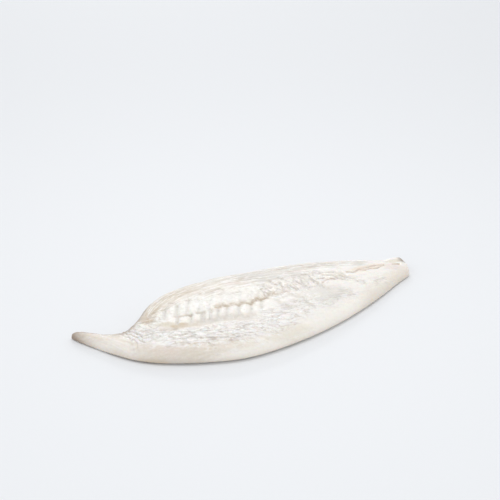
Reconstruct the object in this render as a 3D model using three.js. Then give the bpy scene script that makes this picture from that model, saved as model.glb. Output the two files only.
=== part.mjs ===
// Skinless flatfish fillet: one quarter of a turbot, cut from the backbone out to the fins, lying
// on its flat underside. Millimetres, +Z up. +X runs from the pointed tongue at the head end to
// the tail, +Y from the convex fin edge to the backbone edge, and the origin is on the resting
// plane, under the middle of the outline.
import * as THREE from "three";
import { LoftGeometry } from "three/addons/geometries/LoftGeometry.js";

// Driving dimensions of the outline and of the thickest part.
const LENGTH = 330;
const WIDTH = 118;
const THICKNESS = 26;

// Cross-sections from the tongue to the tail. Each gives its place along the fillet in percent of
// LENGTH, the places of its fin edge, backbone edge and seam in percent of WIDTH, and the height of
// its crest in percent of THICKNESS. Places count from the middle.
const SECTIONS = [
  { along: -50, fin: 18, backbone: 24, seam: 21, crest: 25 },
  { along: -46.7, fin: 9, backbone: 19, seam: 13.5, crest: 36 },
  { along: -42.4, fin: -6, backbone: 9, seam: 2, crest: 43 },
  { along: -37.6, fin: -22.5, backbone: 4.5, seam: -7.5, crest: 55 },
  { along: -33.3, fin: -31, backbone: 14, seam: -9, crest: 69 },
  { along: -28.5, fin: -37.5, backbone: 30.5, seam: -7, crest: 85 },
  { along: -21.2, fin: -44.5, backbone: 42.5, seam: -4.5, crest: 96 },
  { along: -10.3, fin: -50, backbone: 49, seam: -5.5, crest: 100 },
  { along: 4.8, fin: -44, backbone: 50.3, seam: -0.5, crest: 96 },
  { along: 20, fin: -29.8, backbone: 49.5, seam: 10.5, crest: 84 },
  { along: 33.9, fin: -10.2, backbone: 44, seam: 22.5, crest: 63 },
  { along: 44.2, fin: 7.5, backbone: 37, seam: 26.5, crest: 45 },
  { along: 50, fin: 16.5, backbone: 35.5, seam: 26, crest: 41 },
];

// How full a curve is: 2 is an ellipse, more is squarer. The two sides of the seam differ.
const ROUND = 2;
const FIN_SIDE_FULLNESS = 2.2;
const BACKBONE_SIDE_FULLNESS = 2.8;
// Height of the widest line of a cross-section, as a share of its crest height.
const RIM_SHARE = 0.16;

// Rounding of the two ends, seen from above, and of the edge that turns in to the underside.
const TONGUE_TIP_RADIUS = 5;
const TAIL_TIP_RADIUS = 7;
const UNDER_EDGE_REACH = 5;
const UNDER_EDGE_SHARE = 0.3;
// Height that is left of the crest at the very tips.
const TIP_HEIGHT_SHARE = 0.5;

// The seam is the groove where the muscle blocks of both sides meet.
const SEAM_START_X = -84;
const SEAM_END_X = 152;
const SEAM_DEPTH = 2;
const SEAM_HALF_WIDTH = 2.6;

// Muscle blocks: bars across the fillet, one for each vertebra, which lean as they run from the
// seam. Lean is the distance along X for each millimetre away from the seam, and phase the place of a
// bar's edge at the middle of the fillet, as a share of the pitch.
const BLOCK_PITCH = 10;
const BLOCK_HEIGHT = 1.6;
const BLOCK_ROUNDNESS = 0.6;
const BACKBONE_BARS = { phase: 0.93, leanAtHead: 0.23, leanAtTail: -0.38 };
const FIN_BARS = { phase: 0.84, leanAtHead: 0.34, leanAtTail: -0.15 };
const BLOCK_END_X = 112;
const BACKBONE_BLOCK_REACH = 24;
const FIN_BLOCK_REACH_AT_HEAD = 13;
const FIN_BLOCK_REACH_AT_TAIL = 22;
const BLOCK_FULL_SHARE = 0.65;
const LEAN_TURNS_FROM_X = -60;
const LEAN_TURNS_TO_X = 40;

// Shallow valley between the short blocks on the fin side and the smooth flank. It starts at an offset
// from the seam, and drifts away from it with each millimetre towards the tail.
const VALLEY_OFFSET = -15.7;
const VALLEY_DRIFT = -0.19;
const VALLEY_DEPTH = 1.1;
const VALLEY_HALF_WIDTH = 4;
const VALLEY_END_X = -16;

// Small flap of flesh that stands up at the tail's corner.
const FLAP_X = 153;
const FLAP_OFFSET = 7;
const FLAP_HEIGHT = 2.2;
const FLAP_HALF_LENGTH = 8;
const FLAP_HALF_WIDTH = 3;

// Distance over which grooves and blocks fade out along the fillet.
const RELIEF_FADE = 14;

// Fineness of the mesh: rows along the fillet and columns round each cross-section.
const BODY_ROWS = 140;
const END_ROWS = 5;
const BACKBONE_COLUMNS = 15;
const FIN_COLUMNS = 16;
const UNDER_COLUMNS = 6;
// Part of the column spacing that also closes up at the seam, not only at the edge.
const SEAM_CROWDING = 0.6;

const { lerp, smoothstep, clamp } = THREE.MathUtils;

// A smooth curve through one value of every cross-section, as a function of x in millimetres.
function alongFillet(key, fullSize) {
  const curve = new THREE.CubicInterpolant(
    SECTIONS.map((section) => (section.along / 100) * LENGTH),
    SECTIONS.map((section) => (section[key] / 100) * fullSize),
    1,
    new Float32Array(1),
  );
  return (x) => curve.evaluate(x)[0];
}

const finEdge = alongFillet("fin", WIDTH);
const backboneEdge = alongFillet("backbone", WIDTH);
const seamLine = alongFillet("seam", WIDTH);
const crestHeight = alongFillet("crest", THICKNESS);

// Rises from 0 to 1 as share goes from 0 to 1, upright at first and level at the end.
function rollOver(share, fullness) {
  return Math.pow(1 - Math.pow(1 - clamp(share, 0, 1), fullness), 1 / fullness);
}

// Narrows the fillet to a round end at the tongue and at the tail.
function endRounding(x) {
  const fromTongue = (x + LENGTH / 2) / TONGUE_TIP_RADIUS;
  const fromTail = (LENGTH / 2 - x) / TAIL_TIP_RADIUS;
  return rollOver(fromTongue, ROUND) * rollOver(fromTail, ROUND);
}

// 1 from one place along the fillet to another, fading to 0 outside them.
function stretch(x, from, to) {
  return smoothstep(x, from - RELIEF_FADE, from) * (1 - smoothstep(x, to, to + RELIEF_FADE));
}

function bell(distance, halfWidth) {
  return Math.exp(-((distance / halfWidth) ** 2));
}

// The rounded bars of muscle beside the seam, from 0 in a gap to 1 on a bar. The bars of the two
// sides don't meet edge to edge.
function muscleBars(x, fromSeam, turned) {
  const bars = fromSeam > 0 ? BACKBONE_BARS : FIN_BARS;
  const lean = lerp(bars.leanAtHead, bars.leanAtTail, turned);
  const bar = (x - lean * fromSeam) / BLOCK_PITCH + bars.phase;
  return Math.pow(Math.abs(Math.sin(Math.PI * bar)), BLOCK_ROUNDNESS);
}

// Depth of the grooves between and beside the muscle blocks, below the smooth top.
function grooveDepth(x, fromSeam) {
  const turned = smoothstep(x, LEAN_TURNS_FROM_X, LEAN_TURNS_TO_X);
  const finReach = lerp(FIN_BLOCK_REACH_AT_HEAD, FIN_BLOCK_REACH_AT_TAIL, turned);
  const reach = fromSeam > 0 ? BACKBONE_BLOCK_REACH : finReach;
  const inBlocks =
    stretch(x, SEAM_START_X, BLOCK_END_X) *
    (1 - smoothstep(Math.abs(fromSeam), BLOCK_FULL_SHARE * reach, reach));
  const gap = BLOCK_HEIGHT * (1 - muscleBars(x, fromSeam, turned)) * inBlocks;
  const seam = SEAM_DEPTH * bell(fromSeam, SEAM_HALF_WIDTH) * stretch(x, SEAM_START_X, SEAM_END_X);
  const valleyOffset = VALLEY_OFFSET + VALLEY_DRIFT * (x - SEAM_START_X);
  const valley =
    VALLEY_DEPTH *
    bell(fromSeam - valleyOffset, VALLEY_HALF_WIDTH) *
    stretch(x, SEAM_START_X, VALLEY_END_X);
  return Math.max(gap, seam, valley);
}

function flapHeight(x, fromSeam) {
  return FLAP_HEIGHT * bell(x - FLAP_X, FLAP_HALF_LENGTH) * bell(fromSeam - FLAP_OFFSET, FLAP_HALF_WIDTH);
}

// Places along a side, 0 at the edge and 1 at the seam, close together at both.
function columnPlace(share) {
  const bothEnds = (1 - Math.cos(Math.PI * share)) / 2;
  const edgeOnly = 1 - Math.cos((Math.PI / 2) * share);
  return lerp(edgeOnly, bothEnds, SEAM_CROWDING);
}

// One closed cross-section: over the top from the backbone edge to the fin edge, then back
// underneath.
function crossSection(x) {
  const round = endRounding(x);
  const seam = seamLine(x);
  const fin = lerp(seam, finEdge(x), round);
  const backbone = lerp(seam, backboneEdge(x), round);
  const crest = crestHeight(x) * lerp(TIP_HEIGHT_SHARE, 1, round);
  const rim = crestHeight(x) * RIM_SHARE;

  const topPoint = (edge, share, fullness) => {
    const y = lerp(edge, seam, share);
    const rise = rollOver(share, fullness);
    const relief = flapHeight(x, y - seam) - grooveDepth(x, y - seam);
    return new THREE.Vector3(x, y, lerp(rim, crest, rise) + relief * rise);
  };
  const underPoint = (share) => {
    const width = backbone - fin;
    const inside = Math.min(share, 1 - share) * width;
    const reach = Math.min(UNDER_EDGE_REACH, UNDER_EDGE_SHARE * width);
    const y = lerp(backbone, fin, share);
    return new THREE.Vector3(x, y, rim * (1 - rollOver(inside / reach, ROUND)));
  };

  const points = [];
  for (let i = 0; i <= BACKBONE_COLUMNS; i++) {
    points.push(topPoint(backbone, columnPlace(i / BACKBONE_COLUMNS), BACKBONE_SIDE_FULLNESS));
  }
  for (let i = FIN_COLUMNS - 1; i >= 0; i--) {
    points.push(topPoint(fin, columnPlace(i / FIN_COLUMNS), FIN_SIDE_FULLNESS));
  }
  for (let i = UNDER_COLUMNS - 1; i >= 1; i--) {
    points.push(underPoint((1 - Math.cos((Math.PI * i) / UNDER_COLUMNS)) / 2));
  }
  return points;
}

// Places of the cross-sections: evenly along the body, and closing up round each end.
function rowPlaces() {
  const places = [];
  const bodyStart = -LENGTH / 2 + TONGUE_TIP_RADIUS;
  const bodyEnd = LENGTH / 2 - TAIL_TIP_RADIUS;
  for (let i = 1; i < END_ROWS; i++) {
    places.push(bodyStart - TONGUE_TIP_RADIUS * Math.cos((Math.PI / 2) * (i / END_ROWS)));
  }
  for (let i = 0; i <= BODY_ROWS; i++) {
    places.push(lerp(bodyStart, bodyEnd, i / BODY_ROWS));
  }
  for (let i = 1; i < END_ROWS; i++) {
    places.push(bodyEnd + TAIL_TIP_RADIUS * Math.sin((Math.PI / 2) * (i / END_ROWS)));
  }
  return places;
}

const flesh = new THREE.MeshStandardMaterial({
  color: new THREE.Color(0.86, 0.82, 0.76),
  roughness: 0.35,
  metalness: 0,
});

const fillet = new THREE.Mesh(
  new LoftGeometry(rowPlaces().map(crossSection), { capStart: true, capEnd: true }),
  flesh,
);
fillet.name = "fillet";

const part = new THREE.Group();
part.add(fillet);

export default part;
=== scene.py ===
# A raw skinless turbot fillet on a plain table. Sizes are in millimetres, and MM takes them to metres.
import math

import bpy
import numpy as np
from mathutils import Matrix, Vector


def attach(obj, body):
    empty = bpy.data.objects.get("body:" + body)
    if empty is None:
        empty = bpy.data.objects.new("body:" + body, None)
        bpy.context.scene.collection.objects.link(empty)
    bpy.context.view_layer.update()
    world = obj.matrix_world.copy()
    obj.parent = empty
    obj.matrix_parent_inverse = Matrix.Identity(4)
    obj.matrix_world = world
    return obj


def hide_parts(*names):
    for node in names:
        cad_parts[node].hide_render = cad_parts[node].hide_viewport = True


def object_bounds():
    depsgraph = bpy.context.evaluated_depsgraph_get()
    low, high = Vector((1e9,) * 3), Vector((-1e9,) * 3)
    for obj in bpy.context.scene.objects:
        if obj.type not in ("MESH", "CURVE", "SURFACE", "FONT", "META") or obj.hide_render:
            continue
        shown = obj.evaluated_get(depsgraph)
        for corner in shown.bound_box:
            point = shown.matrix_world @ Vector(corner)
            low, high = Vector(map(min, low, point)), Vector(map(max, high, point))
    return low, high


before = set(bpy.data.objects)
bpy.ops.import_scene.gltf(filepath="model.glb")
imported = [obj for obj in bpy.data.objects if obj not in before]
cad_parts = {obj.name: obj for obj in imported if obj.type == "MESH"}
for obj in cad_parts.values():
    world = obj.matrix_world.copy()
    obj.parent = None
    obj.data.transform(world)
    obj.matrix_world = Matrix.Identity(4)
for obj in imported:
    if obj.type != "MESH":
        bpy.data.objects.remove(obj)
cad_low, cad_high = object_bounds()


# The fillet's body
# A quarter of a flatfish, cut along the backbone and out to the fins, with the skin pulled off: one
# leaf of white muscle that is thickest along the seam where its two rows of muscle blocks meet. It
# lies flat on the skinned side, and its cut edges round over by their own softness.
MM = 0.001

# Cross-sections from the tongue at the head end to the tail: place along the fillet in percent of the
# length, then the fin edge, the backbone edge and the seam in percent of the width, counted from the
# middle, and the crest in percent of the thickness.
SECTIONS = np.array([
    (-50, 20.5, 24.5, 22.5, 25),
    (-46.7, 7.5, 19, 13, 36),
    (-42.4, -8, 9, 1, 43),
    (-37.6, -22.5, 4.5, -7.5, 55),
    (-33.3, -31, 14, -9, 69),
    (-28.5, -37.5, 30.5, -7, 85),
    (-21.2, -44.5, 42.5, -4.5, 96),
    (-10.3, -50, 49, -5.5, 100),
    (4.8, -44, 50.3, -0.5, 96),
    (20, -29.8, 49.5, 10.5, 84),
    (33.9, -10.2, 44, 22.5, 63),
    (44.2, 7.5, 37, 26.5, 45),
    (50, 16.5, 35.5, 26, 41),
])
FIN_EDGE, BACKBONE_EDGE, SEAM, CREST = 1, 2, 3, 4

# How full a curve is: 2 is an ellipse, more is squarer. The rim is the widest line of a cross-section,
# at a share of its crest height, and the edge turns in below it to the flat underside.
FIN_SIDE_FULLNESS = 2.2
BACKBONE_SIDE_FULLNESS = 2.8
ROUND = 2
RIM_SHARE = 0.16
TONGUE_TIP_RADIUS = 5
TAIL_TIP_RADIUS = 4.5
UNDER_EDGE_REACH = 5
UNDER_EDGE_SHARE = 0.3
TIP_HEIGHT_SHARE = 0.5

# Fineness of the mesh: rows along the fillet and columns round each cross-section, which crowd
# together at the seam as well as at the edges.
BODY_ROWS = 446
END_ROWS = 12
BACKBONE_COLUMNS = 76
FIN_COLUMNS = 88
UNDER_COLUMNS = 20
SEAM_CROWDING = 0.35

length, width, thickness = (cad_high - cad_low) / MM


def along_fillet(column, x, full_size):
    """A smooth curve through one column of SECTIONS, read at the places x along the fillet."""
    knots = SECTIONS[:, 0] / 100 * length
    values = SECTIONS[:, column] / 100 * full_size
    steps = np.diff(knots)
    secants = np.diff(values) / steps
    slopes = np.concatenate([secants[:1], (secants[1:] + secants[:-1]) / 2, secants[-1:]])
    span = np.clip(np.searchsorted(knots, x) - 1, 0, len(steps) - 1)
    step = steps[span]
    share = (x - knots[span]) / step
    from_left = values[span] * (1 + 2 * share) + slopes[span] * step * share
    from_right = values[span + 1] * (3 - 2 * share) - slopes[span + 1] * step * (1 - share)
    return from_left * (1 - share) ** 2 + from_right * share ** 2


def roll_over(share, fullness):
    """Rises from 0 to 1 with the share, upright at first and level at the end."""
    return (1 - (1 - np.clip(share, 0, 1)) ** fullness) ** (1 / fullness)


def blend(start, end, share):
    return start + (end - start) * share


def column_places(columns):
    """Places from 0 at an edge to 1 at the seam, closer together at both."""
    share = np.arange(columns + 1) / columns
    both_ends = (1 - np.cos(np.pi * share)) / 2
    edge_only = 1 - np.cos(np.pi / 2 * share)
    return blend(edge_only, both_ends, SEAM_CROWDING)[None, :]


def row_places():
    """Places of the cross-sections: evenly along the body, and closing up round each end."""
    turn = np.pi / 2 * np.arange(1, END_ROWS) / END_ROWS
    start = -length / 2 + TONGUE_TIP_RADIUS
    end = length / 2 - TAIL_TIP_RADIUS
    tongue_tip = start - TONGUE_TIP_RADIUS * np.cos(turn)
    tail_tip = end + TAIL_TIP_RADIUS * np.sin(turn)
    return np.concatenate([tongue_tip, np.linspace(start, end, BODY_ROWS + 1), tail_tip])


def fillet_body():
    """The smooth body as a closed mesh, with each point's place on the fillet as attributes."""
    x = row_places()[:, None]
    from_tongue = (x + length / 2) / TONGUE_TIP_RADIUS
    from_tail = (length / 2 - x) / TAIL_TIP_RADIUS
    rounding = roll_over(from_tongue, ROUND) * roll_over(from_tail, ROUND)
    seam = along_fillet(SEAM, x, width)
    fin = blend(seam, along_fillet(FIN_EDGE, x, width), rounding)
    backbone = blend(seam, along_fillet(BACKBONE_EDGE, x, width), rounding)
    full_crest = along_fillet(CREST, x, thickness)
    crest = full_crest * blend(TIP_HEIGHT_SHARE, 1, rounding)
    rim = full_crest * RIM_SHARE

    places = column_places(BACKBONE_COLUMNS)
    backbone_y = blend(backbone, seam, places)
    backbone_rise = roll_over(places, BACKBONE_SIDE_FULLNESS) + 0 * x
    places = column_places(FIN_COLUMNS)[:, -2::-1]
    fin_y = blend(fin, seam, places)
    fin_rise = roll_over(places, FIN_SIDE_FULLNESS) + 0 * x
    share = (1 - np.cos(np.pi * np.arange(UNDER_COLUMNS - 1, 0, -1) / UNDER_COLUMNS))[None, :] / 2
    under_y = blend(backbone, fin, share)
    inside = np.minimum(share, 1 - share) * (backbone - fin)
    reach = np.minimum(UNDER_EDGE_REACH, UNDER_EDGE_SHARE * (backbone - fin))
    under_z = rim * (1 - roll_over(inside / reach, ROUND))

    y = np.concatenate([backbone_y, fin_y, under_y], axis=1)
    rise = np.concatenate([backbone_rise, fin_rise, 0 * under_y], axis=1)
    z = np.concatenate([blend(rim, crest, backbone_rise), blend(rim, crest, fin_rise), under_z], axis=1)
    points = np.stack([x + 0 * y, y, z], axis=-1).reshape(-1, 3)
    low, high = points.min(0), points.max(0)
    cad_size = np.array(cad_high - cad_low)
    points = np.array(cad_low) + (points - low) / (high - low) * cad_size

    rows, columns = y.shape
    corner = np.arange(rows * columns).reshape(rows, columns)
    beside = np.roll(corner, -1, axis=1)
    quads = np.stack([corner[:-1], beside[:-1], beside[1:], corner[1:]], axis=-1).reshape(-1, 4)
    mesh = bpy.data.meshes.new("fillet_flesh")
    mesh.from_pydata(points, [], [*quads.tolist(), corner[0, ::-1].tolist(), corner[-1].tolist()])
    for name, values in {
        "along": x + 0 * y,
        "across": y,
        "from_seam": y - seam,
        "from_fin": y - fin,
        "from_backbone": backbone - y,
        "rise": rise,
    }.items():
        mesh.attributes.new(name, "FLOAT", "POINT").data.foreach_set("value", values.ravel())
    mesh.update()
    return mesh


fillet = bpy.data.objects.new("fillet_flesh", fillet_body())
bpy.context.scene.collection.objects.link(fillet)


# The fillet's surface relief
# Bars of muscle, one for each vertebra, stand on both sides of the seam, and lean over towards the
# tail, where they lie over each other like shingles. Beside them the skin's film stays on the flesh
# in wet wrinkles, and the flank by the backbone shows the long fibres that the knife followed.
class Field:
    """A value that varies over the flesh: a socket in a node tree that takes plain arithmetic."""

    def __init__(self, tree, socket):
        self.tree = tree
        self.socket = socket

    def node(self, kind, values, output=0, **settings):
        """A new node in this field's tree, with its inputs set or linked by index or name."""
        made = self.tree.nodes.new(kind)
        for name, value in settings.items():
            setattr(made, name, value)
        for key, value in values.items():
            if isinstance(value, Field):
                self.tree.links.new(value.socket, made.inputs[key])
            else:
                made.inputs[key].default_value = value
        return Field(self.tree, made.outputs[output])

    def math(self, operation, *others):
        """The result of a math node that takes this field first."""
        return self.node("ShaderNodeMath", dict(enumerate((self, *others))), operation=operation)

    def __add__(self, other):
        return self.math("ADD", other)

    def __sub__(self, other):
        return self.math("SUBTRACT", other)

    def __mul__(self, other):
        return self.math("MULTIPLY", other)

    def __truediv__(self, other):
        return self.math("DIVIDE", other)

    def __pow__(self, other):
        return self.math("POWER", other)

    def __neg__(self):
        return self.math("MULTIPLY", -1)

    def __abs__(self):
        return self.math("ABSOLUTE")

    def __rsub__(self, other):
        return self.node("ShaderNodeMath", {0: other, 1: self}, operation="SUBTRACT")

    __radd__ = __add__
    __rmul__ = __mul__

    def at_least(self, limit):
        return self.math("MAXIMUM", limit)

    def at_most(self, limit):
        return self.math("MINIMUM", limit)

    def smooth(self, start, end):
        """0 below start and 1 above end, easing between them."""
        limits = {0: self, 1: start, 2: end, 3: 0, 4: 1}
        return self.node("ShaderNodeMapRange", limits, interpolation_type="SMOOTHSTEP")

    def between(self, start, end, fade):
        """1 from start to end, fading to 0 outside them."""
        return self.smooth(start - fade, start) * (1 - self.smooth(end, end + fade))

    def bell(self, middle, half_width):
        """1 at the middle, falling off over the half width on both sides."""
        share = (self - middle) / half_width
        return (share * share * -1).math("EXPONENT")

    def spots(self, across, spot_size, layer, detail=2, roughness=0.5):
        """Soft random spots of a size along and across, mostly from -1 to 1."""
        spot_length, spot_width = spot_size
        place = self.node("ShaderNodeCombineXYZ", {0: self / spot_length, 1: across / spot_width, 2: layer})
        values = {"Vector": place, "Scale": 1, "Detail": detail, "Roughness": roughness}
        return (self.node("ShaderNodeTexNoise", values, output="Fac", noise_dimensions="3D") - 0.5) * 4


RELIEF_SIZES = {
    "Seed": 7,
    "Block height": 1.5,
    "Seam depth": 1.7,
    "Flake depth": 1.3,
    "Furrow depth": 1,
    "Valley depth": 1.3,
    "Wrinkle height": 1.1,
    "Fibre height": 0.28,
    "Swell height": 0.7,
    "Flap height": 2.2,
}

# Stretches of the fillet that carry a kind of relief, as their start, their end and the fade at both.
SEAM_LIPS = (-35, 7, 4)
SEAM_DIP = (-70, 20, 14)
FLAKES_BY_TAIL = (8, 60, 16)
FLAKES_BY_BLOCKS = (-58, 2, 12)
VALLEY = (-96, -10, 14)

# Bands beside the seam that carry flakes, as distances from it in the same form.
FLAKE_BAND_BY_TAIL = (-9, 12, 7)
FLAKE_BAND_BY_BLOCKS = (1, 14, 7)

# Places along the fillet where its surface changes, as the start and the end of the change.
TONGUE_ROOT = (-128, -112)
GAPS_SOFTEN = (-54, -40)
FAINT_GAPS_SOFTEN = (-72, -52)
FILM_ENDS = (34, 56)

# The flakes lean as they run from the seam, and bend back further out.
FLAKE_LEAN = -0.2
FLAKE_CURVE = 0.012

# The valley keeps to one place across the fillet by the head, then drifts away to the fin edge.
VALLEY_BY_HEAD = -25.5
VALLEY_BEND = -48
VALLEY_DRIFT = 0.18
VALLEY_HALF_WIDTH = 4.4

# The film's upper border turns away from the valley at two bends by the head, each with its slope, and
# its wrinkles run aslant on the head half.
FILM_BENDS = ((-66, 0.3), (-96, 0.6))
FILM_SLANT = 0.3

# The notch between the tongue and the shoulder draws folds together, and has a patch of waves below it.
NOTCH_AT = (-122, 12)
WAVE_AT = (-119, -11)
WAVE_TURN = -63
WAVE_REACH = (17, 6.5)
WAVE_LENGTH = 7.5
WAVE_SPACING = 3.4

# The flap at the tail's corner, with its offset from the seam.
FLAP_AT = 156
FLAP_HALF_LENGTH = 8
FLAP_OFFSET = 7
FLAP_HALF_WIDTH = 3

# Paths of the lines that show most, as places along and across the fillet: the gaps between the blocks
# on both sides of the seam, the seam under the lips of the blocks, the brown strands that it breaks up
# into towards the tail, the gaps between the flakes, plain and soft, the ripples and furrows of the
# film, and the creases that opened on the backbone flank.
GAP_PATHS = [
    [(-78.5, -7.5), (-82.5, -18)],
    [(-67, -8.8), (-72, -22)],
    [(-57.6, -10), (-62.4, -23)],
    [(-55.6, -10), (-60.4, -23)],
    [(-49.5, -9.5), (-54.5, -23)],
    [(-42.5, -9), (-47.5, -23)],
    [(-34.5, -10), (-39.5, -23.5)],
    [(-24, -11), (-29, -24.5)],
    [(-13, -12.5), (-18, -26)],
    [(-2.5, -9), (-7, -22)],
    [(-90.3, -5), (-86, 6.5)],
    [(-79.9, -6.5), (-74.4, 8)],
]
FAINT_GAP_PATHS = [
    [(-70.5, -7.5), (-62.5, 14)],
    [(-60.4, -8.5), (-54, 8)],
    [(-50.5, -8), (-45, 6)],
    [(-40, -6.5), (-35, 7)],
    [(-29, -6.5), (-24.5, 6)],
    [(-20, -5), (-15, 8)],
    [(-9.6, -4), (-5, 8)],
    [(4.6, -3.4), (9, 8)],
]
SEAM_PATHS = [
    [(-81, -6.5), (-76, -8), (-70, -8.3), (-67.5, -9.8)],
    [(-62, -9.5), (-56, -10.2)],
    [(-51, -9.4), (-49.5, -9)],
    [(-44, -7.6), (-41, -8.8)],
    [(-40, -6.4), (-37.6, -6.2)],
    [(-36.5, -7.6), (-34.5, -9.4), (-31, -9.6), (-28.8, -7.6)],
    [(-28.8, -7.6), (-27, -9), (-24, -10.4), (-20.8, -9.4), (-19.3, -7)],
    [(-19.3, -7), (-17.4, -10), (-14, -12.2), (-11.4, -10.8), (-9.8, -7.4)],
    [(-9.8, -8), (-7.6, -8.2), (-5.4, -5.2)],
    [(-5.4, -5.2), (-3.6, -7.6), (0, -8), (3, -7), (4.6, -4.6)],
    [(4.6, -4.6), (9.5, -1.6)],
    [(9.5, -1.4), (13, -4.5), (17, -5.4), (20.5, -2.8)],
    [(22, -1.8), (27, -2.6)],
]
STRAND_PATHS = [
    [(63.1, 4.5), (66.9, 6.6), (73.5, 8.2), (77.1, 7.2)],
    [(94.3, 19), (96.6, 18.1), (100.2, 17.2), (104, 18.9), (108, 21.7)],
    [(108, 21.7), (117.7, 24.2), (125, 27.4), (136, 28.6)],
    [(108, 21.7), (109.8, 20.3), (114.1, 20), (119.7, 22.5), (127.8, 22), (139, 28.8)],
    [(147.9, 28.4), (151.2, 27.7), (155, 27.3)],
]
FLAKE_PATHS = [
    [(9, 14.3), (11.3, 10.5), (13.1, 7.2)],
    [(16.9, 18.2), (18.7, 13.3), (20.4, 8.5)],
    [(24.5, 15.4), (24, 8), (23, 0)],
    [(26.8, 23.6), (29.5, 18.8), (33.1, 12.7)],
    [(31.1, 7.2), (33.4, 0.8), (37.4, -4.5)],
    [(38, 14), (40, 9), (42, 5)],
    [(44.3, 7.3), (45.8, 1.8), (47.9, -2)],
    [(55.5, 14.3), (57.5, 6.6), (59.8, 0.2)],
    [(60.6, 11.8), (64.1, 11.4), (67.7, 11.5)],
    [(68.4, 22.4), (74.3, 21.6), (80.9, 20.6), (82.9, 19.7)],
    [(69.7, 17.4), (73, 15.4), (77.8, 14.7), (79.8, 12.2)],
    [(79.6, 9), (83.4, 6.5), (86.4, 5.9)],
    [(88.2, 18.3), (89.5, 16.5), (90.8, 14.8)],
    [(85.9, 12.2), (87.2, 10.9), (90.5, 10.9)],
]
SOFT_FLAKE_PATHS = [
    [(9.8, -14.3), (11.6, -18.8), (14.1, -21.2)],
    [(13.6, -25.4), (17.9, -26.7), (23.2, -25.9)],
    [(26, -8), (30, -14), (36, -17)],
    [(35.7, -22.5), (37.4, -25.7), (39.7, -29.2)],
    [(45, 10), (50, 12), (55, 14)],
    [(56.7, 8.3), (59.8, 4), (61.1, -2.6), (63.6, -6.3)],
    [(92.8, 9.6), (95.6, 7.9), (98.6, 6.7)],
    [(98.4, 2.4), (100.4, 1.5), (104.2, 0.8)],
]
RIPPLE_PATHS = [
    [(48.4, -26), (54.2, -26.4), (58, -25.7)],
    [(61.8, -21.6), (66.9, -20.1), (71.5, -19.2)],
    [(75, -15.1), (78.8, -15.8), (81.9, -14.8), (86.4, -14.6)],
    [(75.5, -12), (81.4, -10.7)],
    [(80.6, 10.3), (84.9, 7.5), (91.8, 5.5)],
    [(99, 3.4), (102.7, 1.1), (105.5, 0.7)],
    [(114.4, 3), (116.2, 2.2), (121.2, 5.1), (126.3, 6.6)],
]
FURROW_PATHS = [
    [(-98, -19.5), (-90, -22.6), (-85, -24)],
    [(-97, -36), (-91, -39.5), (-85, -41)],
    [(-84, -31.5), (-80.5, -32.6)],
    [(-79, -31.6), (-72, -34), (-67, -33.4)],
    [(-76, -36.5), (-66, -41), (-56, -44.5), (-50, -46)],
    [(-62, -35.6), (-55, -34.6)],
    [(-46, -50), (-41, -49.6), (-37.5, -47.8)],
    [(-37, -35.4), (-32.5, -36.6)],
    [(-30.5, -40.4), (-26, -38.8), (-20, -39.2)],
    [(-26, -45), (-24, -43.4), (-20.5, -45)],
    [(-10, -37.8), (-5, -39)],
]
CREASE_PATHS = [
    [(-80, 14.6), (-75, 12.6)],
    [(-65, 12.4), (-60, 10.4)],
    [(-50.5, 18.8), (-46, 17)],
    [(-44.5, 19), (-35, 16.6)],
    [(-41, 22.6), (-33, 20.2)],
    [(-32.5, 21.6), (-28, 17.6)],
    [(-36, 12.8), (-32.5, 11.4)],
    [(0, 21), (3.6, 19)],
    [(3, 14.6), (8.5, 12)],
]

body = fillet.data
body_along = np.empty(len(body.vertices))
body_across = np.empty(len(body.vertices))
body.attributes["along"].data.foreach_get("value", body_along)
body.attributes["across"].data.foreach_get("value", body_across)


def keep_distance(name, paths):
    """Keeps how far each point of the body lies from the nearest of some paths, seen from above."""
    nearest = np.full(len(body_along), np.inf)
    for path in paths:
        for start, end in zip(path, path[1:]):
            run_x, run_y = end[0] - start[0], end[1] - start[1]
            from_x, from_y = body_along - start[0], body_across - start[1]
            share = np.clip((from_x * run_x + from_y * run_y) / (run_x ** 2 + run_y ** 2), 0, 1)
            nearest = np.minimum(nearest, np.hypot(from_x - share * run_x, from_y - share * run_y))
    body.attributes.new(name, "FLOAT", "POINT").data.foreach_set("value", nearest)


for name, paths in {
    "to_gap": GAP_PATHS,
    "to_faint_gap": FAINT_GAP_PATHS,
    "to_seam": SEAM_PATHS,
    "to_strand": STRAND_PATHS,
    "to_flake": FLAKE_PATHS,
    "to_soft_flake": SOFT_FLAKE_PATHS,
    "to_ripple": RIPPLE_PATHS,
    "to_furrow": FURROW_PATHS,
    "to_crease": CREASE_PATHS,
}.items():
    keep_distance(name, paths)

relief = bpy.data.node_groups.new("fillet relief", "GeometryNodeTree")
relief.interface.new_socket("Flesh", in_out="INPUT", socket_type="NodeSocketGeometry")
relief.interface.new_socket("Flesh", in_out="OUTPUT", socket_type="NodeSocketGeometry")
for name, value in RELIEF_SIZES.items():
    size_input = relief.interface.new_socket(name, in_out="INPUT", socket_type="NodeSocketFloat")
    size_input.default_value = value
relief_in = relief.nodes.new("NodeGroupInput")
relief_out = relief.nodes.new("NodeGroupOutput")
size = {name: Field(relief, relief_in.outputs[name]) for name in RELIEF_SIZES}
seed = size["Seed"]


def on_flesh(name):
    """A named attribute of the flesh, read by the relief."""
    return seed.node("GeometryNodeInputNamedAttribute", {"Name": name}, data_type="FLOAT")


def across_flakes(x, from_seam):
    """Counts along the fillet, square to the flakes."""
    return x - from_seam * FLAKE_LEAN + from_seam * abs(from_seam) * FLAKE_CURVE


def round_notch(x, y):
    """The turn of each place of the flesh about the notch, and its distance from it."""
    notch_x = x - NOTCH_AT[0]
    notch_y = y - NOTCH_AT[1]
    return notch_y.math("ARCTAN2", notch_x), (notch_x * notch_x + notch_y * notch_y).math("SQRT")


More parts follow.
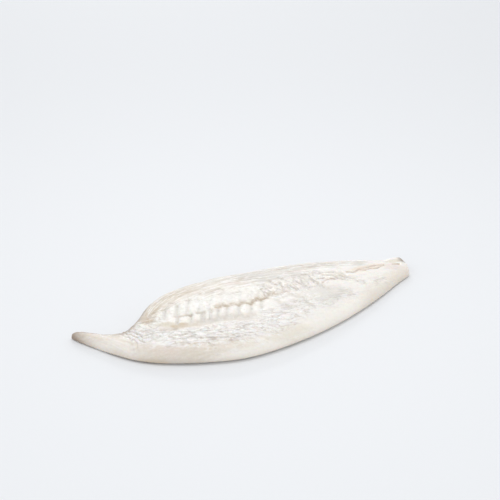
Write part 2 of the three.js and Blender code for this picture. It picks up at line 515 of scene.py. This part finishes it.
def turned(x, y, middle, degrees):
    """Distances from a middle along a direction that is turned by some degrees, and across it."""
    right, ahead = math.cos(math.radians(degrees)), math.sin(math.radians(degrees))
    from_x, from_y = x - middle[0], y - middle[1]
    return from_x * right + from_y * ahead, from_y * right - from_x * ahead


x = on_flesh("along")
y = on_flesh("across")
from_seam = on_flesh("from_seam")
from_fin = on_flesh("from_fin")
from_backbone = on_flesh("from_backbone")
rise = on_flesh("rise")
to_gap = on_flesh("to_gap")
to_faint_gap = on_flesh("to_faint_gap")
to_seam = on_flesh("to_seam")
to_flake = on_flesh("to_flake")

# A slow drift, ragged edges and an uneven depth, which keep the lines from running straight and even.
x_drift = x + x.spots(y, (20, 15), seed) * 0.9
seam_drift = from_seam + x.spots(y, (16, 13), seed + 1) * 1.1
ragged = x.spots(y, (5, 4), seed + 2)
uneven = (0.8 + x.spots(y, (8, 6), seed + 3) * 0.5).at_least(0.15).at_most(1.2)

# Short blocks on both sides of the seam, each a low cushion between two gaps.
block_gap = (to_gap + ragged * 0.4).bell(0, 0.9) * uneven * (1 - x.smooth(*GAPS_SOFTEN) * 0.35)
faint_gap = (to_faint_gap + ragged * 0.5).bell(0, 0.8) * uneven
block_gap = block_gap + faint_gap * (0.7 - x.smooth(*FAINT_GAPS_SOFTEN) * 0.4)
block_hollow = to_gap.bell(0, 3.6) + to_faint_gap.bell(0, 4) * 0.6

# Fine flakes like a feather's barbs, from the middle of the fillet towards the tail.
barbs = across_flakes(x_drift, seam_drift).spots(seam_drift, (3.4, 16), seed + 4, roughness=0.6)
barb_lines = (1 - abs(barbs) * 1.6).at_least(0) ** 3
in_barbs = (x + ragged * 3).between(*FLAKES_BY_TAIL)
in_barbs = in_barbs * (seam_drift + ragged * 2).between(*FLAKE_BAND_BY_TAIL)
in_barbs = in_barbs + x.between(*FLAKES_BY_BLOCKS) * seam_drift.between(*FLAKE_BAND_BY_BLOCKS) * 0.25

# The lines along the paths: each is a narrow groove, ragged and uneven, and some lie in a hollow.
seam = (to_seam + ragged * 0.4).bell(0, 1.3) * uneven
seam = seam * (0.8 + x.between(*SEAM_LIPS) * 0.2)
seam_hollow = to_seam.bell(0, 4) * x.between(*SEAM_DIP)
strand = (on_flesh("to_strand") + ragged * 0.6).bell(0, 0.9) * uneven
flake_gap = (to_flake + ragged * 0.4).bell(0, 1.2) * (0.55 + uneven * 0.45)
flake_hollow = to_flake.bell(0, 4) + on_flesh("to_soft_flake").bell(0, 3.4) * 1.6
barb_gap = barb_lines * in_barbs * uneven
furrow = (on_flesh("to_furrow") + ragged * 0.5).bell(0, 1.1) * uneven
crease = (on_flesh("to_crease") + ragged * 0.4).bell(0, 0.9) * uneven

# The valley under the short blocks.
valley_line = y - VALLEY_BY_HEAD + (x - VALLEY_BEND).at_least(0) * VALLEY_DRIFT
valley_line = valley_line + x.spots(y * 0, (18, 1), seed + 6) * 1.2
valley = valley_line.bell(0, VALLEY_HALF_WIDTH) * x.between(*VALLEY)

# Where the film lies: from some way in from the fin edge up to the valley, and by the tail up to the
# flakes, with a ragged edge.
film_edge = x.spots(y, (12, 5), seed + 7, detail=3) * 3.6
film_start = 8 - x.smooth(-105, -60) * 4.5 + x.smooth(-5, 45) * 10
film_top = valley_line
for bend, slope in FILM_BENDS:
    film_top = film_top - (bend - x).at_least(0) * slope
under_valley = 1 - (film_top + film_edge * 0.5).smooth(-7, -2)
under_flakes = 1 - (from_fin + film_edge).smooth(27, 37)
film = under_valley + (under_flakes - under_valley) * x.smooth(-30, 0)
film = film * (from_fin + film_edge).smooth(film_start - 3, film_start + 6)
film = film * x.smooth(*TONGUE_ROOT) * (1 - x.smooth(*FILM_ENDS))

# Its wet wrinkles: curled folds, finer ones between them, and long ones below both.
film_flow = y + x.at_most(0) * FILM_SLANT + x.spots(y, (24, 14), seed + 8) * 2
folds = x.spots(film_flow, (11, 2.8), seed + 9, roughness=0.6)
curls = (1 - abs(folds) * 1.8).at_least(0) - 0.4
fine_folds = x.spots(film_flow, (7, 1.9), seed + 16, roughness=0.6)
long_folds = x.spots(film_flow, (24, 4), seed + 10, detail=1)
film_strength = 0.85 + x.spots(y, (22, 12), seed + 17) * 0.5 - x.smooth(-15, 25) * 0.35
film_strength = film_strength.at_least(0.2) * film
ridge = (curls * 1.1 + fine_folds * 0.5 + long_folds * 0.6) * film_strength
ripples = x.spots(film_flow, (6, 2), seed + 18) * on_flesh("to_ripple").bell(0, 5)

# The folds that fan out of the notch, and the waves below it.
notch_turn, notch_distance = round_notch(x, y)
in_notch = notch_distance.between(3, 30, 14) * x.smooth(-127, -118) * (1 - from_seam.smooth(14, 24))
notch_fold = notch_turn.spots(notch_distance, (0.1, 16), seed + 11) * in_notch
wave_along, wave_across = turned(x, y, WAVE_AT, WAVE_TURN)
wave_outward = (wave_along / WAVE_REACH[0]) ** 2 + (wave_across / WAVE_REACH[1]) ** 2 + ragged * 0.3
wave_bend = ((wave_along + ragged * 1.2) / WAVE_LENGTH * math.tau).math("SINE") * 0.45 + ragged * 0.35
wave = ((wave_across + wave_bend) / WAVE_SPACING * math.tau).math("SINE")
wave = wave * (1 - wave_outward.smooth(0.2, 1.3))

# Long fibres on the backbone flank, swells all over, and the flap of flesh at the tail's corner.
fibre = x.spots(from_backbone, (50, 2.6), seed + 12, detail=3, roughness=0.65) * from_seam.smooth(14, 26)
swell = x.spots(y, (34, 22), seed + 14, detail=1)
small_swell = x.spots(y, (7, 5), seed + 15, detail=3, roughness=0.65)
flap = x.bell(FLAP_AT, FLAP_HALF_LENGTH) * from_seam.bell(FLAP_OFFSET, FLAP_HALF_WIDTH)

grooves = (
    (block_gap * size["Block height"])
    .at_least(seam * size["Seam depth"])
    .at_least(flake_gap.at_least(barb_gap * 0.6) * size["Flake depth"])
    .at_least(valley * size["Valley depth"])
)
relief_height = (
    (ridge * 0.55 + notch_fold * 0.7) * size["Wrinkle height"]
    + fibre * size["Fibre height"]
    + (swell + small_swell * 0.6) * size["Swell height"]
    + flap * size["Flap height"]
    - (seam_hollow + flake_hollow + block_hollow * 1.5) * 0.6
    + barbs * in_barbs * 0.7
    + (ripples * 0.35 + wave * 0.4) * size["Wrinkle height"]
    - (furrow + strand * 0.7 + crease * 0.8) * size["Furrow depth"]
    - grooves
)
normal = seed.node("GeometryNodeInputNormal", {})
push = {0: normal, "Scale": relief_height * rise * MM}
offset = normal.node("ShaderNodeVectorMath", push, operation="SCALE")
shaped = relief.nodes.new("GeometryNodeSetPosition")
relief.links.new(relief_in.outputs["Flesh"], shaped.inputs["Geometry"])
relief.links.new(offset.socket, shaped.inputs["Offset"])
flow = shaped.outputs["Geometry"]

for name, value in {
    "block_gap": block_gap,
    "seam": seam,
    "strand": strand,
    "flake_gap": flake_gap,
    "feather": in_barbs,
    "furrow": furrow,
    "valley": valley,
    "film": film,
    "ridge": ridge,
    "notch": in_notch,
    "notch_fold": notch_fold,
    "wave": wave,
}.items():
    keep = relief.nodes.new("GeometryNodeStoreNamedAttribute")
    keep.data_type = "FLOAT"
    keep.domain = "POINT"
    keep.inputs["Name"].default_value = name
    relief.links.new(flow, keep.inputs["Geometry"])
    relief.links.new(value.socket, keep.inputs["Value"])
    flow = keep.outputs["Geometry"]


# The flesh
# Raw white muscle is milky and lets light in a little way. It is whitest on the muscle blocks, beige
# and more see-through on the flanks and round the shoulder, and brown where it dries at the tips. A
# thin film of its own juice gives it a wet gloss. Its colour also holds painted highlights on wet
# crests and edges, and painted shade in hollows, gaps, the valley and along the edges by the table.
WHITE = (0.92, 0.895, 0.85)
FLANK_CREAM = (0.97, 0.925, 0.855)
CREAM = (0.905, 0.86, 0.80)
FILM = (0.93, 0.892, 0.855)
# A near-white for paler flesh, also the painted highlight on wet crests, ridges and edges.
PALE_AND_GLINT_WHITE = (0.98, 0.955, 0.93)
# Painted shade for the hollows of the folds and along a furrow.
PAINTED_HOLLOW_SHADE = (0.64, 0.54, 0.48)
BEIGE = (0.75, 0.68, 0.582)
TAN = (0.61, 0.50, 0.375)
GREY = (0.69, 0.645, 0.585)
STONE = (0.70, 0.672, 0.625)
OLIVE = (0.67, 0.60, 0.455)
OCHRE = (0.55, 0.42, 0.26)
ROSE = (0.82, 0.725, 0.68)
PEACH = (0.84, 0.69, 0.57)
LINE_BROWN = (0.47, 0.385, 0.32)
FLAKE_GREY = (0.46, 0.405, 0.37)
SEAM_BROWN = (0.40, 0.27, 0.17)
STRAND_BROWN = (0.46, 0.34, 0.25)
# Dried brown, also painted shade along the tongue's foot and rims, the notch's rim and wave troughs.
DRY_BROWN_AND_SHADE = (0.33, 0.245, 0.185)

# Milky flesh that lets light in a few millimetres, under a thin coat of juice.
FLESH_FINISH = {
    "Subsurface Weight": 0.3,
    "Subsurface Radius": (1.0, 0.7, 0.45),
    "Subsurface Scale": 3 * MM,
    "IOR": 1.4,
    "Coat Roughness": 0.08,
    "Coat IOR": 1.5,
}
FLESH_ROUGHNESS = 0.4
FLESH_WETNESS = 0.55
GRAIN_STRENGTH = 0.7
GRAIN_HEIGHT = 0.4

# Where the fillet narrows to the tail, as the start and the end of the change, and the stretch with long
# lines, as its start, its end and the fade at both.
TAIL_NARROWS = (70, 110)
LONG_LINES = (-95, 115, 20)

# The tongue's fibres run aslant, by these shares along and across the fillet.
TONGUE_RUN = (0.6, 0.8)

# Patches of colour: the middle in millimetres along and across, how far they reach each way, how far
# they are turned in degrees, and how strong they are. Those of the flank lie over all the others.
PATCHES = [
    (BEIGE, (-88, 20), (26, 12), -8, 0.65),
    (OLIVE, (-92, 14), (9, 9), 0, 0.4),
    (TAN, (-101, 5), (8, 11), 0, 0.8),
    (OCHRE, (-99, 3), (5, 6), 0, 0.4),
    (OCHRE, (-97, 8), (9, 6), 30, 0.3),
    (TAN, (-78, 29), (14, 6), -20, 0.3),
    (TAN, (-62, 27), (12, 8), -10, 0.4),
    (BEIGE, (-40, 30), (24, 7), -8, 0.35),
    (WHITE, (-36, 27), (8, 5), -10, 0.35),
    (WHITE, (-20, 19), (9, 5), -10, 0.5),
    (ROSE, (-17, 27), (9, 4), -15, 0.7),
    (TAN, (-5, 28), (9, 8), 0, 0.5),
    (STONE, (10, 26), (18, 11), -8, 0.75),
    (STONE, (40, 23), (20, 8), -12, 0.9),
    (WHITE, (27, 12), (6, 9), -15, 0.7),
    (ROSE, (42, 32), (14, 2.4), -17, 0.6),
    (WHITE, (66, 27), (17, 3.4), -6, 0.7),
    (GREY, (68, 34), (13, 4), -4, 0.6),
    (GREY, (90, 34), (14, 5), -4, 0.6),
    (STONE, (106, 33), (16, 5), -4, 0.8),
    (TAN, (92, 42), (22, 5), -4, 0.4),
    (WHITE, (98, 30), (9, 4), 8, 0.7),
    (GREY, (115, 35), (10, 3), 4, 0.5),
    (CREAM, (50, 6), (48, 16), 10, 0.7),
    (STONE, (56, -14), (27, 12), 10, 0.65),
    (ROSE, (27, -20.5), (10, 4), 0, 0.6),
    (ROSE, (64, 7), (14, 4), 5, 0.5),
    (OLIVE, (85, 14), (7, 5), 20, 0.4),
    (PEACH, (117, 24), (25, 4.5), 13, 0.65),
    (OLIVE, (-91, -15.5), (12, 3.6), -24, 0.65),
    (ROSE, (-92, -20), (9, 2.4), -20, 0.6),
    (OCHRE, (-80, -21.5), (9, 3.2), -12, 0.85),
    (TAN, (-57, -26.5), (14, 3.6), -12, 0.3),
    (WHITE, (-124.6, -19.3), (6, 1.5), -54, 0.8),
    (OLIVE, (-121.4, -19.4), (5.5, 2), -51, 0.6),
    (ROSE, (147, 23.5), (11, 5.5), 0, 0.8),
    (PEACH, (148, 13), (14, 5), 32, 0.5),
    (OLIVE, (151, 33), (9, 3), 0, 0.5),
]
FLANK_PATCHES = [
    (TAN, (-50, -52), (30, 4), -8, 0.25),
    (OLIVE, (6, -50), (24, 4.5), 8, 0.3),
    (ROSE, (-100, -36), (18, 5), -35, 0.4),
    (BEIGE, (125, 3), (40, 6), 30, 0.35),
    (PALE_AND_GLINT_WHITE, (-95.8, -34.7), (16, 2), -31, 0.9),
    # A painted shadow along a furrow of the film.
    (PAINTED_HOLLOW_SHADE, (-64.5, -42.4), (9, 1.8), -22, 0.6),
]

flesh = bpy.data.materials.new("raw fish flesh")
flesh.use_nodes = True
flesh_tree = flesh.node_tree
surface = flesh_tree.nodes["Principled BSDF"]


def in_flesh(name):
    """A named attribute of the flesh, read by the material."""
    reader = flesh_tree.nodes.new("ShaderNodeAttribute")
    reader.attribute_name = name
    return Field(flesh_tree, reader.outputs["Fac"])


def tint(colour, other, share):
    """A colour that turns into another where share is 1."""
    mix = flesh_tree.nodes.new("ShaderNodeMix")
    mix.data_type = "RGBA"
    flesh_tree.links.new(share.socket, mix.inputs["Factor"])
    for slot, value in (("A", colour), ("B", other)):
        sockets = [socket for socket in mix.inputs if socket.name == slot and socket.type == "RGBA"]
        if isinstance(value, tuple):
            sockets[0].default_value = (*value, 1)
        else:
            flesh_tree.links.new(value, sockets[0])
    return [socket for socket in mix.outputs if socket.type == "RGBA"][0]


x = in_flesh("along")
y = in_flesh("across")
from_seam = in_flesh("from_seam")
from_fin = in_flesh("from_fin")
from_backbone = in_flesh("from_backbone")
film = in_flesh("film")
valley = in_flesh("valley")
feather = in_flesh("feather")
wave = in_flesh("wave")
fold = in_flesh("ridge") + in_flesh("notch_fold") * 0.35
flesh_place = x.node("ShaderNodeTexCoord", {}, output="Object")
above_table = x.node("ShaderNodeSeparateXYZ", {0: flesh_place}, output="Z") / MM

# Random texture, from broad clouds to fine specks. It runs over the flanks by their height as well.
over = y + above_table
cloud = x.spots(over, (26, 16), 1, detail=3, roughness=0.6)
mottle = x.spots(over, (9, 4), 4, detail=3, roughness=0.65)
fleck = x.spots(over, (5, 3.5), 2, detail=3, roughness=0.65)
speck = x.spots(over, (3.6, 3), 6, roughness=0.6)
pinch = x.spots(over, (2.1, 3), 15, detail=1)
pore = x.spots(over, (1.6, 1.2), 5)
streak = x.spots(from_backbone, (40, 2.2), 3, detail=4, roughness=0.65)
dash = x.spots(from_backbone, (13, 2.4), 16, detail=3, roughness=0.65)
along_tongue = x * TONGUE_RUN[0] - y * TONGUE_RUN[1]
across_tongue = x * TONGUE_RUN[1] + y * TONGUE_RUN[0]
tongue_fibre = along_tongue.spots(across_tongue, (36, 3), 14, detail=3)
mottling = speck * 0.6 + pinch * 0.6
loose = cloud * 5 + fleck * 2.5

# Where the parts of the fillet lie, with loose edges.
loose_x = x + loose
backbone_flank = (from_seam + loose * 1.2 + streak * 4).smooth(12, 34)
backbone_flank = backbone_flank * (1 - x.smooth(*TAIL_NARROWS) * 0.6)
fin_flank = 1 - (from_fin + loose * 0.8).smooth(4, 12)
middle_flank = loose_x.between(-55, 80, 30)
head_half = 1 - loose_x.smooth(-90, -40)
on_tongue = 1 - loose_x.smooth(*TONGUE_ROOT)
on_blocks = from_seam.between(-14, 18, 5) * x.between(-90, 10, 10)
in_notch = in_flesh("notch") * from_backbone.smooth(2, 7)
in_ripples = in_flesh("to_ripple").bell(0, 5)
in_long_lines = (from_seam + x.smooth(40, 90) * 8 + loose).smooth(10, 18) * x.between(*LONG_LINES)


def thin_lines(noise):
    """Thin wavy lines where a noise changes sign."""
    return (1 - abs(noise) * 5).at_least(0)


# Dark lines and gleams that follow the flow of the film, the notch, the flakes and the long fibres.
film_flow = y + x.at_most(0) * FILM_SLANT + cloud * 1.5
film_line = thin_lines(x.spots(film_flow, (15, 3.2), 7, detail=1)) * film
film_gleam = thin_lines(x.spots(film_flow, (9, 2.6), 8, detail=1)) * film
ripple_line = thin_lines(x.spots(film_flow, (13, 3), 12, detail=1) * 0.7) * in_ripples
ripple_gleam = thin_lines(x.spots(film_flow, (11, 3), 13, detail=1) * 0.7) * in_ripples
notch_turn, notch_distance = round_notch(x, y)
notch_line = thin_lines(notch_turn.spots(notch_distance, (0.22, 14), 9, detail=1)) * in_notch
flake_count = across_flakes(x, from_seam) + fleck * 0.5
flake_line = thin_lines(flake_count.spots(from_seam, (7, 18), 10, detail=1)) * feather
flake_gleam = thin_lines(flake_count.spots(from_seam, (6, 18), 11, detail=1)) * feather
fibre_flow = from_backbone + fleck * 0.4
long_line = thin_lines(x.spots(fibre_flow, (42, 4.6), 17, detail=1)) * in_long_lines
long_gleam = thin_lines(x.spots(fibre_flow, (36, 4.2), 18, detail=1)) * in_long_lines


def add_patches(colour, patches):
    """Oval patches of colour with ragged edges, laid over a colour."""
    for shade, middle, reach, turn, strength in patches:
        along, across = turned(x, y, middle, turn)
        share_along = along / reach[0]
        share_across = across / reach[1]
        outward = share_along * share_along + share_across * share_across + cloud * 0.3 + fleck * 0.35
        colour = tint(colour, shade, (1 - outward.smooth(0.2, 1.4)) * strength)
    return colour


# White muscle, beige on the backbone flank and greyer there towards the tail.
colour = tint(WHITE, GREY, (fleck * 0.25 + cloud * 0.12).at_least(0))
colour = tint(colour, BEIGE, backbone_flank * (0.75 + streak + fleck * 0.4).at_least(0))
colour = tint(colour, STONE, backbone_flank * x.smooth(-50, 0) * 0.7)

# The tongue, cream with beige streaks along its fibres and painted highlights between them, darker in
# front, and the cream tail.
colour = tint(colour, CREAM, 1 - loose_x.smooth(-122, -112))
colour = tint(colour, BEIGE, on_tongue * (tongue_fibre * 0.8 + 0.15).at_least(0))
colour = tint(colour, PALE_AND_GLINT_WHITE, on_tongue * (-tongue_fibre).smooth(0, 0.7) * 0.9)
colour = tint(colour, TAN, (1 - (x + loose * 0.5).smooth(-160, -130)) * 0.25)
colour = tint(colour, CREAM, loose_x.smooth(60, 110) * 0.35)
colour = add_patches(colour, PATCHES)

# Short dashes and long streaks on the backbone flank.
colour = tint(colour, OLIVE, backbone_flank * head_half * dash.smooth(0.1, 0.7) * 0.7)
colour = tint(colour, OCHRE, backbone_flank * head_half * dash.smooth(0.6, 1.1) * 0.4)
colour = tint(colour, WHITE, backbone_flank * (-dash - streak * 0.6).smooth(0.3, 1) * 0.8)
colour = tint(colour, PALE_AND_GLINT_WHITE, backbone_flank * streak.smooth(0.3, 1) * 0.6)
colour = tint(colour, TAN, backbone_flank * (-streak).smooth(0.5, 1.2) * 0.35)
colour = tint(colour, PALE_AND_GLINT_WHITE, long_gleam * 0.8)
colour = tint(colour, LINE_BROWN, long_line * (0.4 + dash * 0.25).at_least(0))

# The valley, brown at its head end and grey further on, which is painted shade under the short
# blocks, and the pale film beside it.
colour = tint(colour, BEIGE, valley * (0.9 + fleck * 0.3))
colour = tint(colour, TAN, valley * (0.3 + fleck * 0.2))
colour = tint(colour, STONE, valley * (x + loose * 0.5).smooth(-74, -52) * 0.7)
colour = tint(colour, FILM, film)
colour = tint(colour, PALE_AND_GLINT_WHITE, film * head_half * 0.6)

# The flank along the fin edge.
colour = tint(colour, CREAM, fin_flank * (1 - on_tongue * 0.8) * (0.8 + mottle * 0.3))
colour = tint(colour, FLANK_CREAM, fin_flank * middle_flank * 0.9)
edge_shade = head_half * 0.85 + mottle * (0.35 - middle_flank * 0.2)
edge_shade = edge_shade.at_least(0) * x.smooth(-135, -105)
colour = tint(colour, BEIGE, fin_flank * edge_shade)
colour = add_patches(colour, FLANK_PATCHES)

# Painted highlights on the crests of the folds and painted shade in their hollows, and the blocks
# with painted shade in and beside their gaps.
colour = tint(colour, PALE_AND_GLINT_WHITE, fold.smooth(0, 0.4) * 0.9)
colour = tint(colour, PAINTED_HOLLOW_SHADE, (-fold).smooth(0.1, 0.8) * (0.6 - head_half * 0.3))
colour = tint(colour, STONE, on_blocks * (mottling + fleck * 0.4).at_least(0) * 0.5)
faint_shade = in_flesh("to_faint_gap").bell(0, 2.4) * (0.35 - x.smooth(*FAINT_GAPS_SOFTEN) * 0.2)
gap_shade = in_flesh("to_gap").bell(0, 2.6) * 0.45 + faint_shade
colour = tint(colour, STONE, gap_shade * (1 + fleck * 0.5))
colour = tint(colour, GREY, in_flesh("block_gap") * (0.45 + fleck * 0.35))

# Gleams and dark lines of the film and the flakes, furrows, creases and ripples.
colour = tint(colour, PALE_AND_GLINT_WHITE, film_gleam.at_least(flake_gleam) * 0.8)
colour = tint(colour, LINE_BROWN, film_line.at_least(notch_line) * (0.48 + fleck * 0.25))
colour = tint(colour, FLAKE_GREY, flake_line * (0.45 + fleck * 0.2))
colour = tint(colour, FLAKE_GREY, in_flesh("flake_gap") * (0.5 + speck * 0.25))
# Painted shade along the soft gaps between the flakes.
colour = tint(colour, GREY, in_flesh("to_soft_flake").bell(0, 2.4) * 0.6)
colour = tint(colour, LINE_BROWN, in_flesh("furrow") * 0.3)
crease_line = (in_flesh("to_crease") + fleck * 0.6).bell(0, 0.9)
colour = tint(colour, LINE_BROWN, crease_line * (0.35 + speck * 0.2))
colour = tint(colour, PALE_AND_GLINT_WHITE, ripple_gleam * 0.7)
colour = tint(colour, LINE_BROWN, ripple_line * (0.3 + fleck * 0.2).at_least(0))

# The brown seam with painted shade in a band along it, and the strands that go on from it.
seam_shade = in_flesh("to_seam").bell(0, 3.4) * loose_x.between(-42, 14, 8)
colour = tint(colour, OCHRE, seam_shade * (0.42 + fleck * 0.3))
colour = tint(colour, SEAM_BROWN, in_flesh("seam") * 0.45)
colour = tint(colour, STRAND_BROWN, in_flesh("strand") * (0.75 + fleck * 0.35))

# Mottling, strongest where the flesh is rough, and the waves below the notch, with painted highlights
# on their crests and painted shade in their troughs.
rough = film.at_least(feather).at_least(in_flesh("notch"))
colour = tint(colour, TAN, (0.1 + rough * 0.2) * mottling.at_least(0))
colour = tint(colour, PALE_AND_GLINT_WHITE, (0.2 + rough * 0.3) * (-mottling).at_least(0))
colour = tint(colour, PALE_AND_GLINT_WHITE, wave.smooth(0, 0.8) * 0.8)
colour = tint(colour, DRY_BROWN_AND_SHADE, (-wave).smooth(0.3, 1) * (0.36 + fleck * 0.25))

# The thin rims: darker along the fin edge, partly its own colour and partly painted shade where it
# turns under to the table, and a painted highlight along the backbone edge.
rim = (1 - (above_table + loose * 0.1).smooth(1, 8)) * (1 - from_fin.smooth(2, 6))
colour = tint(colour, STONE, rim * head_half * x.smooth(-112, -95) * 0.9)
colour = tint(colour, TAN, rim * (0.35 + x.between(-116, -102, 8) * 0.4))
colour = tint(colour, BEIGE, (1 - from_fin.smooth(1, 7)) * x.smooth(*TAIL_NARROWS) * 0.5)
back_edge_gleam = (from_backbone + fleck).bell(9, 4) * loose_x.between(0, 100, 40)
colour = tint(colour, PALE_AND_GLINT_WHITE, back_edge_gleam * 0.7)

# Flesh that has dried brown: the tongue's foot and rim, the notch, the tail's corner and the tip.
# Along the tongue's foot and the rims of the tongue and the notch this brown is also painted shade,
# where the foot meets the table and where the rims turn away at the outline.
dry_and_shaded_tongue_foot = x.between(-132, -118, 16) + (1 - x.smooth(-162, -152))
colour = tint(colour, DRY_BROWN_AND_SHADE, dry_and_shaded_tongue_foot * (1 - above_table.smooth(0.5, 3)) * 0.6)
dry_and_shaded_tongue_rim = (1 - x.smooth(-122, -116)) * (from_backbone + loose * 0.1).bell(3.5, 2.5)
colour = tint(colour, DRY_BROWN_AND_SHADE, dry_and_shaded_tongue_rim * 0.5)
dry_and_shaded_notch_rim = loose_x.between(-122, -104, 18) * (from_backbone + fleck).bell(6, 4)
colour = tint(colour, DRY_BROWN_AND_SHADE, dry_and_shaded_notch_rim * 0.75)
tail_corner = (x + fleck).smooth(155, 162) * (y + fleck).smooth(26, 31)
colour = tint(colour, DRY_BROWN_AND_SHADE, tail_corner * 0.9)
tip_foot = (1 - (x + loose * 0.4).smooth(-165, -154)) * (1 - above_table.smooth(2, 7))
colour = tint(colour, DRY_BROWN_AND_SHADE, tip_foot * 0.8)
dry_tip = (1 - (x + loose * 0.6).smooth(-168, -146)) * (0.52 + fleck * 0.25 + speck * 0.2)
colour = tint(colour, DRY_BROWN_AND_SHADE, dry_tip.at_least(0))

# The plain underside.
underside = (1 - in_flesh("rise").smooth(0, 0.02)) * from_fin.smooth(4, 8) * from_backbone.smooth(4, 8)
colour = tint(colour, CREAM, underside)
flesh_tree.links.new(colour, surface.inputs["Base Color"])

for name, value in FLESH_FINISH.items():
    surface.inputs[name].default_value = value
wet = FLESH_WETNESS + film * 0.5 - backbone_flank * 0.2 - fin_flank * 0.35 + cloud * 0.15
wet = wet.at_most(1).at_least(0.05)
dull = FLESH_ROUGHNESS + fleck * 0.06 + backbone_flank * 0.1 - film * 0.1
flesh_tree.links.new(wet.socket, surface.inputs["Coat Weight"])
flesh_tree.links.new(dull.socket, surface.inputs["Roughness"])

grain = fleck * 0.5 + pore * 0.25 + streak * backbone_flank * 0.6
grain = grain + film_gleam + flake_gleam + ripple_gleam - film_line - notch_line - flake_line - ripple_line
bump = flesh_tree.nodes.new("ShaderNodeBump")
bump.inputs["Strength"].default_value = GRAIN_STRENGTH
bump.inputs["Distance"].default_value = GRAIN_HEIGHT * MM
flesh_tree.links.new(grain.socket, bump.inputs["Height"])
flesh_tree.links.new(bump.outputs["Normal"], surface.inputs["Normal"])
flesh_tree.links.new(bump.outputs["Normal"], surface.inputs["Coat Normal"])

smoothed = relief.nodes.new("GeometryNodeSetShadeSmooth")
whole = relief.nodes.new("GeometryNodeRealizeInstances")
dressed = relief.nodes.new("GeometryNodeSetMaterial")
dressed.inputs["Material"].default_value = flesh
relief.links.new(flow, smoothed.inputs["Geometry"])
relief.links.new(smoothed.outputs["Geometry"], whole.inputs["Geometry"])
relief.links.new(whole.outputs["Geometry"], dressed.inputs["Geometry"])
relief.links.new(dressed.outputs["Geometry"], relief_out.inputs["Flesh"])

shaping = fillet.modifiers.new("fillet relief", "NODES")
shaping.node_group = relief
for socket in relief.interface.items_tree:
    if socket.in_out == "INPUT" and socket.name in RELIEF_SIZES:
        shaping[socket.identifier] = float(RELIEF_SIZES[socket.name])
depsgraph = bpy.context.evaluated_depsgraph_get()
finished = bpy.data.meshes.new_from_object(fillet.evaluated_get(depsgraph), depsgraph=depsgraph)
fillet.modifiers.remove(shaping)
fillet.data = finished

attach(fillet, "root")
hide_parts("fillet")


# Table, light and camera
# A plain white table in a tent of even white light, with a small soft box overhead and a low one behind
# the fillet, which put the gloss on its wet ridges.
TABLE_SIZE = 8000
TABLE_DROP = 0.3
TABLE_WHITE = (0.825, 0.84, 0.862)
TABLE_ROUGHNESS = 0.7
SURROUND_COLOUR = (0.984, 0.991, 1)
SURROUND_STRENGTH = 0.86

# Each soft box has its place, its sides and its power in watts.
SOFT_BOXES = {
    "top box": ((0, 0, 900), (200, 200), 1.5),
    "back box": ((500, 1900, 1240), (800, 240), 4.4),
}

# The camera looks at a place on the table, from angles in degrees.
VIEW_AZIMUTH = -21
VIEW_ELEVATION = 28
VIEW_TARGET = (37.8, 123.7, 0)
VIEW_DISTANCE = 985.7
LENS = 70

half = TABLE_SIZE / 2 * MM
table_top = -TABLE_DROP * MM
table_mesh = bpy.data.meshes.new("table")
corners = [(-half, -half), (half, -half), (half, half), (-half, half)]
table_mesh.from_pydata([(*corner, table_top) for corner in corners], [], [(0, 1, 2, 3)])
table = bpy.data.objects.new("table", table_mesh)
bpy.context.scene.collection.objects.link(table)
table_white = bpy.data.materials.new("table white")
table_white.use_nodes = True
table_paint = table_white.node_tree.nodes["Principled BSDF"]
table_paint.inputs["Base Color"].default_value = (*TABLE_WHITE, 1)
table_paint.inputs["Roughness"].default_value = TABLE_ROUGHNESS
table_mesh.materials.append(table_white)

surround = bpy.data.worlds.new("surround")
surround.use_nodes = True
surround_light = surround.node_tree.nodes["Background"]
surround_light.inputs["Color"].default_value = (*SURROUND_COLOUR, 1)
surround_light.inputs["Strength"].default_value = SURROUND_STRENGTH
bpy.context.scene.world = surround

for name, (place, sides, watts) in SOFT_BOXES.items():
    box = bpy.data.lights.new(name, "AREA")
    box.shape = "RECTANGLE"
    box.size, box.size_y = (side * MM for side in sides)
    box.energy = watts
    stand = bpy.data.objects.new(name, box)
    stand.location = Vector(place) * MM
    stand.rotation_euler = (-stand.location).to_track_quat("-Z", "Y").to_euler()
    bpy.context.scene.collection.objects.link(stand)

camera = bpy.data.cameras.new("camera")
camera.lens = LENS
camera_stand = bpy.data.objects.new("camera", camera)
azimuth, elevation = math.radians(VIEW_AZIMUTH), math.radians(VIEW_ELEVATION)
back = Vector((
    math.sin(azimuth) * math.cos(elevation),
    -math.cos(azimuth) * math.cos(elevation),
    math.sin(elevation),
))
camera_stand.location = (Vector(VIEW_TARGET) + back * VIEW_DISTANCE) * MM
camera_stand.rotation_euler = (-back).to_track_quat("-Z", "Y").to_euler()
bpy.context.scene.collection.objects.link(camera_stand)
bpy.context.scene.camera = camera_stand
bpy.context.scene.view_settings.view_transform = "Standard"
